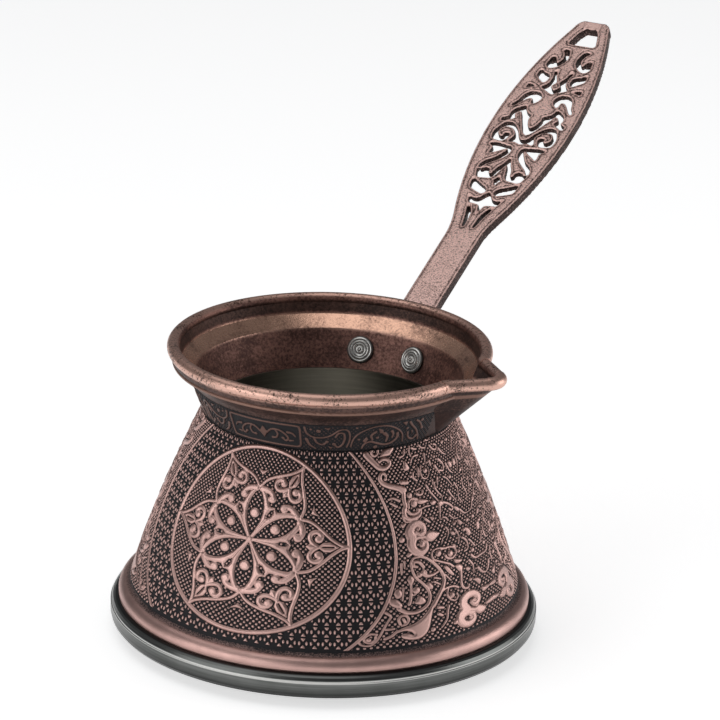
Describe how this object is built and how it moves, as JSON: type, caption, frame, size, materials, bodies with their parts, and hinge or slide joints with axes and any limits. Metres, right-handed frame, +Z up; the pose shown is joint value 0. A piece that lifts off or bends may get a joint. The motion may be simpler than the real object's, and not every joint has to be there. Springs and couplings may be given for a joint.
{
  "type": "turkish coffee pot",
  "caption": "Embossed copper cezve with a wide base, flared collar, side V spout and a long pierced handle on two rivets.",
  "frame": {"origin": "centre of the base on the plane it stands on", "axes": "+Z up along the pot's axis, +Y towards the handle, +X towards the spout"},
  "size_m": [0.115, 0.2179, 0.1334],
  "materials": {
    "base_steel": "satin spun steel",
    "disc_aluminium": "plain",
    "liner_steel": "satin, dark inside",
    "body_copper": "embossed, antiqued copper with dark recesses",
    "collar_copper": "antiqued copper, rubbed bright on the rim",
    "handle_cast": "cast, antiqued copper with fine speckle",
    "rivet_alloy": "turned"
  },
  "bodies": {
    "root": {"base_pan": "base_steel", "heat_disc": "disc_aluminium", "liner": "liner_steel", "body_shell": "body_copper", "collar": "collar_copper", "handle": "handle_cast", "rivet_left": "rivet_alloy", "rivet_right": "rivet_alloy"}
  },
  "joints": []
}
